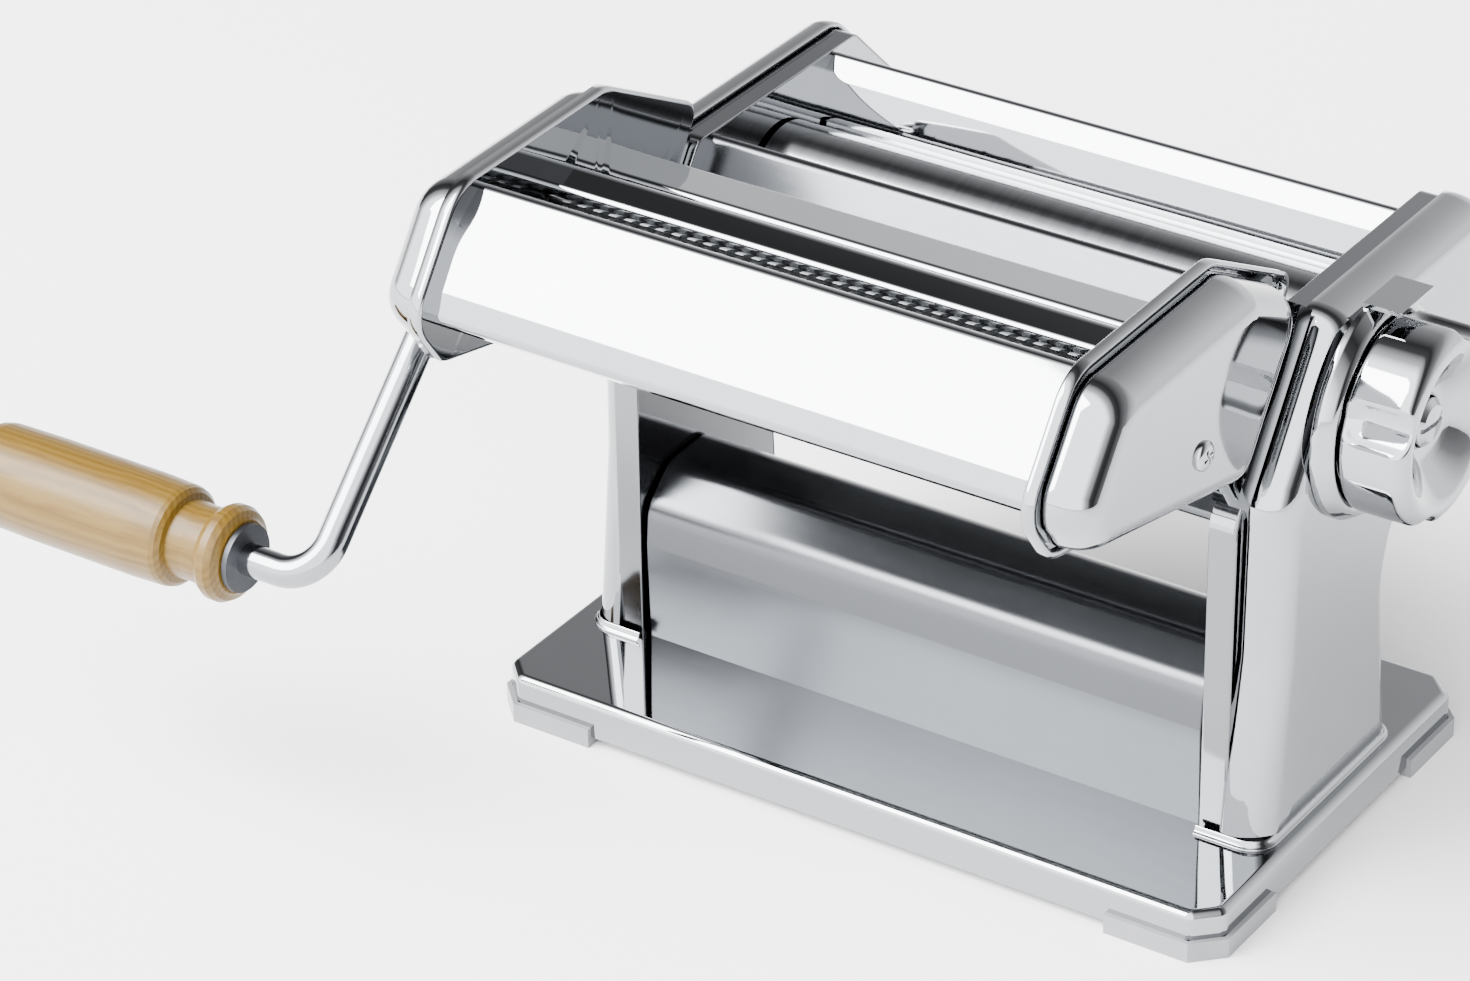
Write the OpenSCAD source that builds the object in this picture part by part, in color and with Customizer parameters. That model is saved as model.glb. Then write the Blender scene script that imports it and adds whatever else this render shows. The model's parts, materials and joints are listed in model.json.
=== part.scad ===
// Hand-cranked pasta roller with a lift-off cutter head.
// X runs along the rollers, -Y is the cutter head's side, +Z is up.
// The origin is on the resting plane under the middle of the base.

/* [Rollers] */
// Working length of the sheeting rollers and cutters
roller_len = 150; // [120:1:200]
// Radius of a sheeting roller
roller_r = 15; // [13:0.5:15.5]
// Gap between the sheeting rollers at the middle setting
roller_gap = 1.2; // [1.1:0.1:1.6]
// Side play between a roller's end and the frame
side_gap = 1; // [0.5:0.1:2]
// Radius of a sheeting roller's plain journal
journal_r = 5; // [4:0.25:5.5]
// Teeth on each gear of the sheeting rollers
roller_teeth = 15; // [13:1:17]

/* [Cutters] */
// Width of a narrow noodle
narrow_w = 2; // [1.5:0.1:3]
// Width of a wide noodle
wide_w = 6.5; // [5:0.1:8]
// Radius over the cutting discs
cutter_r = 10.5; // [10.2:0.1:10.8]
// How far the discs of two cutters reach past each other
cutter_lap = 1.6; // [1:0.1:2]
// Radius of a cutter's plain journal
cutter_journal_r = 3.5; // [3:0.1:3.8]
// Teeth on each cutter gear
cutter_teeth = 14; // [12:1:16]

/* [Base and frame] */
// Width of the base plate
base_w = 194; // [188:1:210]
// Depth of the base plate
base_d = 118; // [100:1:140]
// Height of the base plate's top face
base_h = 12; // [10:0.5:14]
// Sheet thickness of the base plate and chutes
sheet_t = 1; // [0.8:0.1:1.5]
// Thickness of the side frames' web
web_t = 2; // [1.5:0.1:2.5]
// Depth of the side frames' folded flange, web included
flange_w = 6; // [5.5:0.1:6.5]
// How far the right cover stands out past the flange
cover_w = 11; // [10.5:0.1:14]
// How far the left cover stands out, behind the crank
left_cover_w = 8.5; // [8:0.1:9]
// Wall of the covers and end caps
cover_t = 1.2; // [0.8:0.1:1.6]
// Height of the side frames' top edge
frame_top = 132.5; // [131:0.5:136]

/* [Cutter head] */
// Lean of the head's guide rails from upright
rail_lean = 34.5; // [34:0.25:35]
// Depth of an end cap from the side plate
cap_w = 12.5; // [11.5:0.1:13]
// Height of the rolled rim of a side plate
rim_w = 1.6; // [1:0.1:2.2]

/* [Crank] */
// Radius of the crank rod
rod_r = 3.8; // [3.4:0.1:4]
// Throw of the crank
crank_throw = 89.2; // [75:0.5:92]
// Length of the wooden grip
grip_len = 78; // [65:1:95]
// Largest radius of the grip
grip_r = 12.3; // [11:0.1:14]

/* [Regulator] */
// Radius of the regulator knob
knob_r = 23; // [20:0.5:24]
// Depth of the knob's drum
knob_w = 16; // [14:0.5:20]
// Radius of the regulator shaft
reg_shaft_r = 4; // [3.5:0.1:4.5]
// Radius of the cams at the middle setting
cam_r = 8; // [7.5:0.1:8.5]

/* [Fits] */
// Radial clearance of a running shaft
run_fit = 0.06; // [0.02:0.01:0.1]
// Gap between pieces that move past each other
move_gap = 0.3; // [0.2:0.05:0.5]

/* [Hidden] */
$fn = 48;
inner_x = roller_len / 2 + side_gap;    // inner face of frames and head plates
web_x = inner_x + web_t;                // outer face of the webs
flange_x = inner_x + flange_w;          // edge of the folded flanges
cover_x = flange_x + cover_w;           // outer face of the right cover
left_x = flange_x + left_cover_w;       // outer face of the left cover
half_len = roller_len / 2;

// Axes along X, as [y, z]
rear_axis = [64.5, 107.5];
front_axis = [rear_axis.x - 2 * roller_r - roller_gap, rear_axis.y];
reg_axis = [10.5, 108.5];

// Regulator: the cams lift linearly over the knob's swing
reg_swing = 125;                        // degrees each way
cam_lift = 0.8;                         // slide travel each way
cam_len = 3;                            // width of a cam and of its slide
slide_x = web_x + move_gap;             // inner face of the bearing slides
slide_h = 20;

// Cutter axes lie in pairs along the head's sloping floor
head_slope = 12.6;
along = [cos(head_slope), -sin(head_slope)];
pair_gap = 2 * cutter_r - cutter_lap;
narrow_rear = [-63.5, 134.5];
narrow_front = narrow_rear - pair_gap * along;
wide_front = [-43.2, 126.8];
wide_rear = wide_front + pair_gap * along;
cutter_core_r = cutter_r - cutter_lap - 0.7;

// Drive sockets take the crank rod and its cross pin
socket_r = rod_r + run_fit;
socket_out_r = 6.5;
socket_len = 20;
cross_pin_r = 1;
narrow_end = web_x + 11.5;              // outer end of the narrow cutter's socket
arm_x = narrow_end + 5.5;               // plane of the crank arm
crank_turn = -45.1;                     // arm direction, turned about X

leg_front = -28.3;
leg_rear = 30;
rail_top = [-1, frame_top];
rail_foot = [leg_front, frame_top - (rail_top.x - leg_front) / tan(rail_lean)];

chrome = [0.83, 0.84, 0.86];
steel = [0.66, 0.67, 0.69];
dark_steel = [0.35, 0.36, 0.38];
brass = [0.76, 0.62, 0.36];
foot_grey = [0.70, 0.71, 0.72];
wood = [0.80, 0.62, 0.38];

// ---------- outline helpers ----------

// Left normal of the step from a to b
function left_of(a, b) = let(u = (b - a) / norm(b - a)) [-u.y, u.x];

// Closed anticlockwise outline moved inwards by d
function inset(p, d) = let(n = len(p))
    [for (i = [0:n - 1])
        let(a = left_of(p[(i + n - 1) % n], p[i]), b = left_of(p[i], p[(i + 1) % n]))
        p[i] + d * (a + b) / (1 + a * b)];

// Arc that rounds the corner b of the path a, b, c with radius r
function corner(a, b, c, r, n) =
    let(u = (a - b) / norm(a - b), v = (c - b) / norm(c - b),
        half = acos(u * v) / 2,
        reach = min(r / tan(half), 0.48 * min(norm(a - b), norm(c - b))),
        rr = reach * tan(half),
        mid = b + (u + v) / norm(u + v) * rr / sin(half),
        from = b + u * reach - mid, to = b + v * reach - mid,
        turn = atan2(from.x * to.y - from.y * to.x, from * to))
    r == 0 ? [b] : [for (i = [0:n]) let(t = turn * i / n)
        mid + [from.x * cos(t) - from.y * sin(t), from.x * sin(t) + from.y * cos(t)]];

// Closed outline with each corner rounded by its radius in r
function rounded(p, r, n = 5) = let(m = len(p))
    [for (i = [0:m - 1]) each corner(p[(i + m - 1) % m], p[i], p[(i + 1) % m], r[i], n)];

// Open path with each inner corner rounded by r
function eased(p, r, n = 5) = let(m = len(p))
    concat([p[0]], [for (i = [1:m - 2]) each corner(p[i - 1], p[i], p[i + 1], r, n)],
        [p[m - 1]]);

// Closed outline of a sheet of thickness t on the left of an open path
function sheet(p, t) = let(m = len(p))
    concat(p, [for (i = [m - 1:-1:0])
        let(a = i > 0 ? left_of(p[i - 1], p[i]) : left_of(p[0], p[1]),
            b = i < m - 1 ? left_of(p[i], p[i + 1]) : left_of(p[m - 2], p[m - 1]))
        p[i] + t * (a + b) / (1 + a * b)]);

// ---------- solid helpers ----------

// Extrudes a [y, z] outline from x0 to x1
module slab(x0, x1) {
    translate([x0, 0, 0]) rotate([90, 0, 90]) linear_extrude(x1 - x0) children();
}

// Round bar along X about the axis at, from x0 to x1
module bar(at, x0, x1, r) {
    translate([x0, at.x, at.y]) rotate([0, 90, 0]) cylinder(h = x1 - x0, r = r);
}

// Turned part: profile points are [radius, x]
module turned(at, profile) {
    translate([0, at.x, at.y]) rotate([0, 90, 0]) rotate_extrude() polygon(profile);
}

// Rings of one outline, joined into a closed solid
module loft(rings) {
    n = len(rings[0]);
    m = len(rings);
    polyhedron(
        points = [for (ring = rings) each ring],
        faces = concat([[for (i = [0:n - 1]) i]],
            [for (j = [0:m - 2], i = [0:n - 1])
                [j * n + i, (j + 1) * n + i, (j + 1) * n + (i + 1) % n, j * n + (i + 1) % n]],
            [[for (i = [n - 1:-1:0]) (m - 1) * n + i]]));
}

// Solid of a pressed cover: an outline raised by depth, its far edge rounded by r
module pressed_solid(outline, depth, r, steps = 4) {
    loft(concat([[for (p = outline) [p.x, p.y, 0]]],
        [for (i = [0:steps]) let(t = 90 * i / steps)
            [for (p = inset(outline, r * (1 - cos(t)))) [p.x, p.y, depth - r + r * sin(t)]]]));
}

// Open shell of wall t: up the outside, across, and down the inside. Where the outline is
// hollow, cut splits its flat face in two from point cut[0] to point cut[1], and point cut[2]
// looks over the second half.
module pressed_shell(outline, depth, r, t, steps = 4, cut = undef) {
    function ring(q, top, rr) = concat([[for (p = q) [p.x, p.y, 0]]],
        [for (i = [0:steps]) let(a = 90 * i / steps)
            [for (p = inset(q, rr * (1 - cos(a)))) [p.x, p.y, top - rr + rr * sin(a)]]]);
    outer = ring(outline, depth, r);
    inner = ring(inset(outline, t), depth - t, r - t);
    n = len(outline);
    m = len(outer);
    c = n * m;
    flats = cut == undef ? [[for (i = [0:n - 1]) i]]
        : [[for (i = [cut[1]:n + cut[0]]) i % n],
            concat([for (i = [cut[2]:cut[1]]) i], [for (i = [cut[0]:cut[2] - 1]) i])];
    polyhedron(
        points = concat([for (q = outer) each q], [for (q = inner) each q]),
        faces = concat(
            [for (j = [0:m - 2], i = [0:n - 1]) let(k = (i + 1) % n)
                [j * n + i, (j + 1) * n + i, (j + 1) * n + k, j * n + k]],
            [for (j = [0:m - 2], i = [0:n - 1]) let(k = (i + 1) % n)
                [c + j * n + i, c + j * n + k, c + (j + 1) * n + k, c + (j + 1) * n + i]],
            [for (i = [0:n - 1]) [i, (i + 1) % n, c + (i + 1) % n, c + i]],
            [for (f = flats) [for (k = [len(f):-1:1]) (m - 1) * n + f[k % len(f)]]],
            [for (f = flats) [for (k = f) c + (m - 1) * n + k]]));
}

// Stands a shell on the plane x, facing outwards on that side
module on_side(x, right) {
    mirror([right ? 0 : 1, 0, 0]) translate([x, 0, 0]) rotate([90, 0, 90]) children();
}

// Frame of the guide rails: X across, Y back, Z up along the rail from its top
module rail_frame() {
    translate([0, rail_top.x, rail_top.y]) rotate([-rail_lean, 0, 0]) children();
}

// Involute gear outline with the tooth nearest +X on the X axis, or a gap if half is 1
function involute(base, t) = base * [cos(t) + t * PI / 180 * sin(t), sin(t) - t * PI / 180 * cos(t)];
function gear_outline(teeth, pitch_r, add, ded, play, half) =
    let(base = pitch_r * cos(20), step = 360 / teeth,
        tip = pitch_r + add, foot = pitch_r - ded,
        t_pitch = acos(base / pitch_r), t_tip = sqrt(pow(tip / base, 2) - 1) * 180 / PI,
        inv_pitch = tan(t_pitch) * 180 / PI - t_pitch,
        width = step / 4 - play / pitch_r * 90 / PI + inv_pitch,
        flank = [for (i = [0:4]) involute(base, t_tip * i / 4)])
    [for (k = [0:teeth - 1]) let(mid = step * (k + half / 2))
        each concat(
            [foot * [cos(mid - width), sin(mid - width)]],
            [for (q = flank) [q.x * cos(mid - width) - q.y * sin(mid - width),
                              q.x * sin(mid - width) + q.y * cos(mid - width)]],
            [for (i = [4:-1:0]) let(q = flank[i])
                [q.x * cos(mid + width) + q.y * sin(mid + width),
                 q.x * sin(mid + width) - q.y * cos(mid + width)]],
            [foot * [cos(mid + width), sin(mid + width)]])];

// Gear on the axis at, its first tooth pointing at the axis toward
module gear(at, toward, teeth, pitch_r, add, ded, play, half, x0, x1, bore) {
    aim = atan2(toward.y - at.y, toward.x - at.x);
    difference() {
        translate([0, at.x, at.y]) rotate([aim, 0, 0])
            slab(x0, x1) polygon(gear_outline(teeth, pitch_r, add, ded, play, half));
        bar(at, x0 - 1, x1 + 1, bore);
    }
}

// Coil spring along its own Z, as a swept tube
module coil(r, wire, height, turns, sides = 6, steps = 12) {
    n = turns * steps;
    loft([for (i = [0:n]) let(a = 360 * i / steps, z = height * i / n)
        [for (k = [0:sides - 1]) let(b = -360 * k / sides, rr = r + wire * cos(b))
            [rr * cos(a), rr * sin(a), z + wire * sin(b)]]]);
}

// ---------- base ----------

base_cut = 6;
foot_h = 2.5;
base_outline = [[-base_w / 2 + base_cut, -base_d / 2], [base_w / 2 - base_cut, -base_d / 2],
    [base_w / 2, -base_d / 2 + base_cut], [base_w / 2, base_d / 2 - base_cut],
    [base_w / 2 - base_cut, base_d / 2], [-base_w / 2 + base_cut, base_d / 2],
    [-base_w / 2, base_d / 2 - base_cut], [-base_w / 2, -base_d / 2 + base_cut]];

module base_plate() {
    color(chrome) translate([0, 0, foot_h])
        pressed_shell(base_outline, base_h - foot_h, 2.2, 1.2);
}

foot_reach = 27;
foot_top = 5;
module corner_feet() {
    color(foot_grey) for (sx = [0, 1], sy = [0, 1]) mirror([sx, 0, 0]) mirror([0, sy, 0])
        difference() {
            intersection() {
                linear_extrude(foot_top) polygon(inset(base_outline, -1.2));
                translate([base_w / 2 - foot_reach, base_d / 2 - foot_reach, 0])
                    cube([foot_reach + 5, foot_reach + 5, foot_top]);
            }
            translate([0, 0, -1]) linear_extrude(foot_top + 2)
                polygon(inset(base_outline, 5));
            translate([0, 0, foot_h]) linear_extrude(foot_top) difference() {
                polygon(base_outline);
                polygon(inset(base_outline, 1.2));
            }
        }
}

base_screw_y = 18;
module base_screws() {
    color(steel) for (sx = [-1, 1], sy = [-1, 1])
        translate([sx * (inner_x + flange_w / 2), sy * base_screw_y, base_h - 1.2 - 2.4])
            cylinder(h = 2.4, r = 3.6);
}

// ---------- side frames and covers ----------

frame_outline = rounded(
    [[leg_front, base_h], [leg_rear, base_h], [leg_rear - 2.5, 62], [34, 75], [48, 81.5],
     [78, 87], [86, 97], [86, 113], [66, frame_top], rail_top, rail_foot],
    [3, 3, 14, 14, 14, 10, 8, 6, 4, 5, 8]);
slot_h = journal_r + 0.6;
slot_reach = cam_lift + move_gap;

module side_frame() {
    difference() {
        union() {
            slab(inner_x, web_x) polygon(frame_outline);
            slab(web_x, flange_x) difference() {
                polygon(frame_outline);
                polygon(inset(frame_outline, web_t));
            }
            // keepers that guide the bearing slide above and below
            for (s = [-1, 1]) slab(web_x, slide_x + cam_len)
                translate([front_axis.x - 8, front_axis.y + s * (slide_h / 2 + move_gap + 1) - 1])
                    square([16, 2]);
            // boss behind the bearing spring
            slab(web_x, slide_x + cam_len) translate([spring_end, front_axis.y - 4])
                square([2, 8]);
        }
        // slot for the front roller's journal
        for (s = [-1, 1])
            bar(front_axis + [s * slot_reach, 0], inner_x - 1, web_x + 1, slot_h);
        slab(inner_x - 1, web_x + 1) translate(front_axis - [slot_reach, slot_h])
            square([2 * slot_reach, 2 * slot_h]);
        for (p = stays) bar(p, inner_x - 1, web_x + 1, stay_neck_r + 0.1);
        bar(reg_axis, inner_x - 1, flange_x, reg_shaft_r + run_fit);
    }
}
spring_end = front_axis.x + 17;

module right_side_frame() {
    color(chrome) difference() {
        side_frame();
        bar(rear_axis, inner_x - 1, web_x + 1, bush_r(journal_r));
    }
}
module left_side_frame() {
    color(chrome) difference() {
        mirror([1, 0, 0]) side_frame();
        bar(rear_axis, -web_x - 1, -inner_x + 1, bush_r(socket_out_r));
    }
}

cover_lip = 1.7;
cover_outline = rounded(
    [[leg_front - cover_lip, base_h], [leg_rear + cover_lip, base_h], [26.5, 56], [31, 72],
     [46, 79], [79, 84.5], [88, 96], [88, 114], [67, frame_top + cover_lip],
     [rail_top.x + 1.4, frame_top + cover_lip], [-24.5, 97], [-25, 58]],
    [9, 9, 20, 14, 14, 10, 9, 9, 9, 10, 14, 0]);

module cover(depth) {
    on_side(flange_x, true) pressed_shell(cover_outline, depth, 6.5, cover_t,
        cut = [20, len(cover_outline) - 1, 57]);
}
socket_mouth_r = 8.5;
module left_cover() {
    color(chrome) difference() {
        mirror([1, 0, 0]) cover(left_cover_w);
        bar(rear_axis, -left_x - 1, -left_x + 5, socket_mouth_r);
    }
}
module right_cover() {
    color(chrome) difference() {
        cover(cover_w);
        bar(reg_axis, cover_x - 5, cover_x + 1, reg_shaft_r + 2);
    }
}

// ---------- sheet parts between the frames ----------

module between(path, r, inset_x = 0) {
    slab(-inner_x + inset_x, inner_x - inset_x) polygon(sheet(eased(path, r), sheet_t));
}

chute_gap = 1.2;
module sheet_chute() {
    color(chrome) between([[34, base_h + 1], [27, base_h + 1], [13, 37], [-1, 56], [-17.5, 55.4],
        [-26.6, 47.5], [-26.6, base_h]], 7, chute_gap);
}

// The wall lies behind the rail line and parallel to it
wall_top = [4.6, frame_top + 0.2];
wall_len = 52;
wall_down = [-sin(rail_lean), -cos(rail_lean)];
module front_wall() {
    color(chrome) between([wall_top + [4, -3.5], wall_top, wall_top + wall_len * wall_down,
        wall_top + wall_len * wall_down + [4, -1.5]], 1.6);
}

module feed_plate() {
    color(chrome) between([[59.5, 127], [57.5, frame_top + 0.2], [52, 128], [47, 118.3]], 1.2);
}

scraper_t = 0.8;
scraper_gap = 0.4;
module scraper(axis, side, clear, foot) {
    tip = axis + (roller_r + clear) * [side * 0.5, -0.866];
    path = side > 0 ? [tip, foot] : [foot, tip];
    slab(-inner_x, inner_x) polygon(sheet(path, scraper_t));
}
module front_scraper() {
    color(steel) scraper(front_axis, 1, cam_lift + scraper_gap, [front_axis.x + 1, 82]);
}
module rear_scraper() {
    color(steel) scraper(rear_axis, -1, scraper_gap, [rear_axis.x - 1.5, 85.5]);
}

stay_r = 3.5;
stay_neck_r = 2;
stays = [[-14, 88], [20, 74], [0, 24]];
module stay_rods() {
    color(steel) for (p = stays) {
        bar(p, -inner_x, inner_x, stay_r);
        bar(p, -web_x - 2, web_x + 2, stay_neck_r);
        for (s = [-1, 1]) bar(p, s > 0 ? web_x : -web_x - 2, s > 0 ? web_x + 2 : -web_x, 5);
    }
}

// ---------- bearings ----------

bush_wall = 2;
function bush_r(shaft) = shaft + bush_wall;
module bush(at, side, shaft) {
    x0 = side > 0 ? inner_x : -web_x;
    difference() {
        bar(at, x0, x0 + web_t, bush_r(shaft));
        bar(at, x0 - 1, x0 + web_t + 1, shaft + run_fit);
    }
}
module rear_roller_bushes() {
    color(brass) {
        bush(rear_axis, 1, journal_r);
        bush(rear_axis, -1, socket_out_r);
    }
}

// ---------- sheeting rollers ----------

gear_x0 = slide_x + cam_len + 0.6;
gear_w = 5;
roller_pitch_r = roller_r + (roller_gap - 2 * 0.5) / 2;
roller_gear_play = 0.25;
rear_end = left_x - 1.5;

module socket_cut(at, end) {
    bar(at, -end - 1, -end + socket_len, socket_r);
    translate([-end - 1, at.x, at.y]) rotate([0, 90, 0]) translate([0, 0, 2])
        cube([2 * cross_pin_r + 0.6, 2 * socket_out_r + 2, 7], center = true);
}

module rear_roller() {
    color(steel) difference() {
        union() {
            bar(rear_axis, -half_len, half_len, roller_r);
            bar(rear_axis, half_len, web_x + 1, journal_r);
            bar(rear_axis, -rear_end, -half_len, socket_out_r);
        }
        socket_cut(rear_axis, rear_end);
    }
}
module front_roller() {
    color(steel) {
        bar(front_axis, -half_len, half_len, roller_r);
        bar(front_axis, half_len, slide_x + cam_len, journal_r);
        bar(front_axis, -gear_x0 - gear_w, -half_len, journal_r);
    }
}
module rear_roller_gear() {
    color(dark_steel) gear(rear_axis, front_axis, roller_teeth, roller_pitch_r, 1.8, 2.4,
        roller_gear_play, 0, -gear_x0 - gear_w, -gear_x0, socket_out_r);
}
module front_roller_gear() {
    color(dark_steel) gear(front_axis, rear_axis, roller_teeth, roller_pitch_r, 1.8, 2.4,
        roller_gear_play, 1, -gear_x0 - gear_w, -gear_x0, journal_r);
}

slide_nose = reg_axis.x + cam_r + move_gap;
slide_tail = front_axis.x + 9;
module bearing_slide() {
    difference() {
        slab(slide_x, slide_x + cam_len) polygon(rounded(
            [[slide_nose, front_axis.y - 5], [front_axis.x - 9, front_axis.y - slide_h / 2],
             [slide_tail, front_axis.y - slide_h / 2], [slide_tail, front_axis.y + slide_h / 2],
             [front_axis.x - 9, front_axis.y + slide_h / 2], [slide_nose, front_axis.y + 5]],
            [0, 2, 1, 1, 2, 0]));
        bar(front_axis, slide_x - 1, slide_x + cam_len + 1, journal_r + run_fit);
    }
}
module right_bearing_slide() { color(steel) bearing_slide(); }
module left_bearing_slide() { color(steel) mirror([1, 0, 0]) bearing_slide(); }

slide_spring_r = 1.1;
slide_spring_wire = 0.3;
slide_spring_room = cam_lift + move_gap;
module slide_springs() {
    wire = slide_spring_wire;
    color(steel) for (s = [-1, 1])
        translate([s * (slide_x + cam_len / 2), slide_tail + slide_spring_room + wire, front_axis.y])
            rotate([-90, 0, 0])
                coil(slide_spring_r, wire,
                    spring_end - slide_tail - slide_spring_room - 2 * wire, 6);
}

// ---------- regulator ----------

// Radius of the cam at the angle a; it falls evenly over the swing and returns over the rest
cam_rise = cam_lift / reg_swing;
function cam_at(a) = abs(a) <= reg_swing ? cam_r - cam_rise * a
    : cam_r - cam_rise * reg_swing * (a > 0 ? 1 : -1)
        * (180 - abs(a)) / (180 - reg_swing);
ring_w = 4.7;
ring_x = cover_x + ring_w;
knob_x0 = ring_x + 0.4;
knob_x1 = knob_x0 + knob_w;
dish = 6.5;
reg_out = knob_x1 - dish - 0.6;         // end of the shaft, under the knob's screw

module regulator_shaft() {
    color(steel) bar(reg_axis, -slide_x - cam_len, reg_out, reg_shaft_r);
}
module regulator_cams() {
    color(dark_steel) for (s = [-1, 1]) difference() {
        x0 = s > 0 ? slide_x : -slide_x - cam_len;
        translate([0, reg_axis.x, reg_axis.y]) slab(x0, x0 + cam_len)
            polygon([for (a = [-180:6:179]) cam_at(a) * [cos(a), sin(a)]]);
        bar(reg_axis, x0 - 1, x0 + cam_len + 1, reg_shaft_r);
    }
}

module rotate_about(at, a) {
    translate([0, at.x, at.y]) rotate([a, 0, 0]) translate([0, -at.x, -at.y]) children();
}

// Seat of the knob, with a track for its peg and one dimple for each of seven settings
settings = 7;
peg_r = 1.5;
peg_at = 14;
track_depth = 1.6;
module knob_ring() {
    color(chrome) difference() {
        turned(reg_axis, [[reg_shaft_r + 2, cover_x], [knob_r + 3, cover_x],
            [knob_r + 3, cover_x + 1.5], [knob_r + 1.2, ring_x - 0.8], [knob_r + 0.5, ring_x],
            [peg_at + peg_r + 0.4, ring_x], [peg_at + peg_r + 0.4, ring_x - track_depth],
            [peg_at - peg_r - 0.4, ring_x - track_depth], [peg_at - peg_r - 0.4, ring_x],
            [reg_shaft_r + run_fit, ring_x], [reg_shaft_r + run_fit, cover_x + 2],
            [reg_shaft_r + 2, cover_x + 2]]);
        for (k = [0:settings - 1])
            rotate_about(reg_axis, (k * 2 / (settings - 1) - 1) * reg_swing)
                bar([reg_axis.x, reg_axis.y + peg_at], ring_x - track_depth - 0.8, ring_x, peg_r);
    }
}

tab_z = reg_axis.y + knob_r + 3.1;
module index_tab() {
    color(chrome) difference() {
        union() {
            translate([cover_x, reg_axis.x - 4, tab_z]) cube([9.5, 15, 1]);
            translate([cover_x, reg_axis.x - 4, tab_z - 3]) cube([1.4, 15, 3.5]);
        }
        bar(reg_axis, cover_x - 1, cover_x + 1.5, knob_r + 3);
    }
}

// Drum with four finger flutes, a dished face and a bore that slides on the shaft
flute_r = 6;
spring_seat = knob_x0 + 2.4;
module regulator_knob() {
    color(chrome) difference() {
        union() {
            turned(reg_axis, concat(
                [[reg_shaft_r + run_fit, knob_x0], [knob_r - 0.6, knob_x0],
                 [knob_r, knob_x0 + 0.6]],
                [for (i = [0:4]) let(t = 90 * i / 4)
                    [knob_r - 3.5 + 3.5 * cos(t), knob_x1 - 3.5 + 3.5 * sin(t)]],
                [[knob_r - 5.5, knob_x1 - 0.4], [9, knob_x1 - dish + 0.4],
                 [8.2, knob_x1 - dish], [reg_shaft_r + run_fit, knob_x1 - dish]]));
            bar([reg_axis.x, reg_axis.y + peg_at], ring_x - track_depth + 0.3, knob_x0 + 1, peg_r);
        }
        for (k = [0:3]) rotate_about(reg_axis, 69.5 + 90 * k) {
            bar([reg_axis.x, reg_axis.y + knob_r + 3], knob_x0 + 4.5, knob_x1 + 1, flute_r);
            translate([knob_x0 + 4.5, reg_axis.x, reg_axis.y + knob_r + 3]) sphere(flute_r);
        }
        bar(reg_axis, spring_seat, knob_x1, screw_r + 0.4);
    }
}
knob_pull = 3;
knob_spring_wire = 0.4;
screw_r = 5.6;
module knob_spring() {
    wire = knob_spring_wire;
    len = reg_out - spring_seat - knob_pull - move_gap;
    color(steel) translate([reg_out - len + wire, reg_axis.x, reg_axis.y]) rotate([0, 90, 0])
        coil(reg_shaft_r + wire + 0.3, wire, len - 2 * wire, 3, 6, 16);
}
module knob_screw() {
    color(chrome) difference() {
        turned(reg_axis, [[0, reg_out], [screw_r, reg_out], [screw_r, reg_out + 1.4],
            [screw_r - 1.4, reg_out + 2.5], [0, reg_out + 3]]);
        translate([reg_out + 1.9, reg_axis.x - screw_r, reg_axis.y - 0.6])
            cube([3, 2 * screw_r, 1.2]);
    }
}

// ---------- guide rails of the cutter head ----------

rail_len = 39;
rail_low = -42;
rail_x = web_x + 3.2;
module box_at(x0, x1, y0, y1, z0, z1) {
    translate([x0, y0, z0]) cube([x1 - x0, y1 - y0, z1 - z0]);
}

// T-shaped rails on the frames, each with a stop at its foot
module guide_rails() {
    color(chrome) for (s = [0, 1]) mirror([s, 0, 0]) rail_frame() {
        box_at(rail_x - 0.6, rail_x + 0.6, -3, 0, rail_low, rail_low + rail_len);
        box_at(rail_x - 1.7, rail_x + 1.7, -5, -3, rail_low, rail_low + rail_len);
        box_at(rail_x - 3, rail_x + 3, -7, 0, rail_low - 2, rail_low);
    }
}

// Channels that hook round the rails; the head hangs on their feet
channel_out = 3.2;
module guide_channels() {
    color(chrome) for (s = [0, 1]) mirror([s, 0, 0]) rail_frame() difference() {
        box_at(rail_x - channel_out, rail_x + channel_out, -7.5, -0.6, rail_low, 2);
        box_at(rail_x - 2, rail_x + 2, -5 - move_gap, -3 + move_gap, rail_low - 1, 3);
        box_at(rail_x - 0.6 - move_gap, rail_x + 0.6 + move_gap, -5, 0, rail_low - 1, 3);
    }
}

// ---------- cutter head shell ----------

function rail_pt(y, z) = rail_top + y * [cos(rail_lean), -sin(rail_lean)]
    + z * [sin(rail_lean), cos(rail_lean)];

cap_screw_r = 2;
right_post = [-58.5, 128.2];
left_post = [-50, 143];

// Corners of a head plate whose rear edge lies at the distance back before the rails
function head_points(back) = [
    rail_pt(-back, -37.6 - (back - 4.5) * 0.402), rail_pt(-back, 8.2 - (back - 4.5) * 0.09),
    [-36, 161.2], [-92.5, 160.4], [-111.3, 134.5], [-101.5, 120.7]];
head_outline = rounded(head_points(4.5), [4, 4, 10, 13, 10, 8], 6);
right_cap_outline = rounded(inset(head_points(11), 2.5), [10, 10, 9.5, 11, 9.5, 9.5], 6);
left_cap_outline = rounded(inset(head_points(5.2), 2.5), [9.5, 9.5, 9.5, 11, 9.5, 9.5], 6);

// Bulge of the left cap round the rear wide gear
ear_outline = rounded([rail_pt(-24, -34.5), rail_pt(-0.6, -34.5), rail_pt(-0.6, -7.5),
    rail_pt(-24, -7.5)], [8, 8, 8, 8]);
ear_rim_r = 3;
ear_x = rail_x + channel_out + move_gap;

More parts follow.
